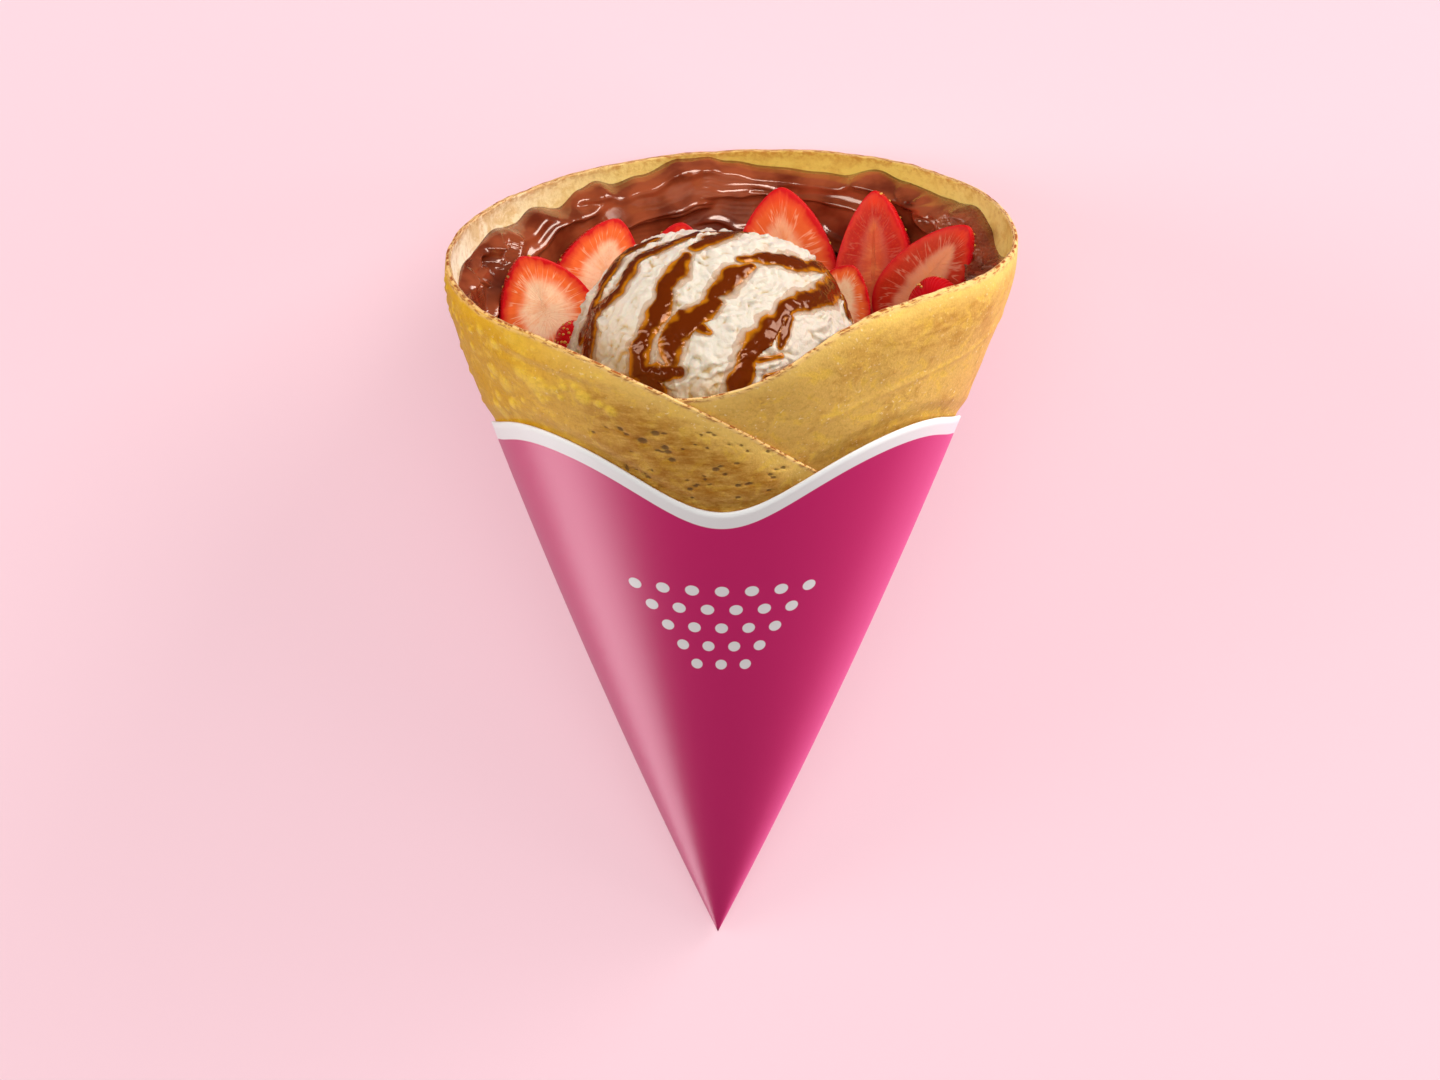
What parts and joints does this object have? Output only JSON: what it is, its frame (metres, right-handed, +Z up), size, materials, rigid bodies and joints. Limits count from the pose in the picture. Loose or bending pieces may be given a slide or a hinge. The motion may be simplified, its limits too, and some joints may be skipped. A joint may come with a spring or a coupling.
{
  "type": "crepe cone",
  "caption": "Rolled crepe in a paper sleeve, spread with chocolate and filled with an ice cream scoop and cut strawberries, lying on its back.",
  "frame": {"origin": "on the flat strip under the sleeve that the cone lies on, under its centre of mass", "axes": "+Y along the lying cone towards its mouth, +Z up, +X to the right seen from above with the mouth away"},
  "size_m": [0.1349, 0.1908, 0.1233],
  "materials": {
    "sleeve_paper": "coated raspberry pink paper with a white wavy border, satin",
    "crepe": "golden baked batter with browned mottling, pale blisters and small pits, slightly oily",
    "chocolate": "smooth glossy chocolate spread with knife ridges",
    "ice_cream": "creamy vanilla, torn and grainy from the scoop, damp",
    "caramel_sauce": "thick translucent caramel sauce, glossy",
    "strawberry": "juicy cut flesh, pale rays to a red rim, and glossy red skin with seeds"
  },
  "bodies": {
    "root": {"paper_sleeve": "sleeve_paper", "crepe": "crepe", "chocolate_spread": "chocolate", "ice_cream": "ice_cream", "strawberry_left_half": "strawberry", "strawberry_back_left_half": "strawberry", "strawberry_behind_scoop_tip": "strawberry", "strawberry_back_right_half": "strawberry", "strawberry_right_half": "strawberry", "strawberry_right_leaning_half": "strawberry", "strawberry_scoop_side_slice": "strawberry", "strawberry_left_skin_piece": "strawberry", "strawberry_right_skin_piece": "strawberry"}
  },
  "joints": []
}
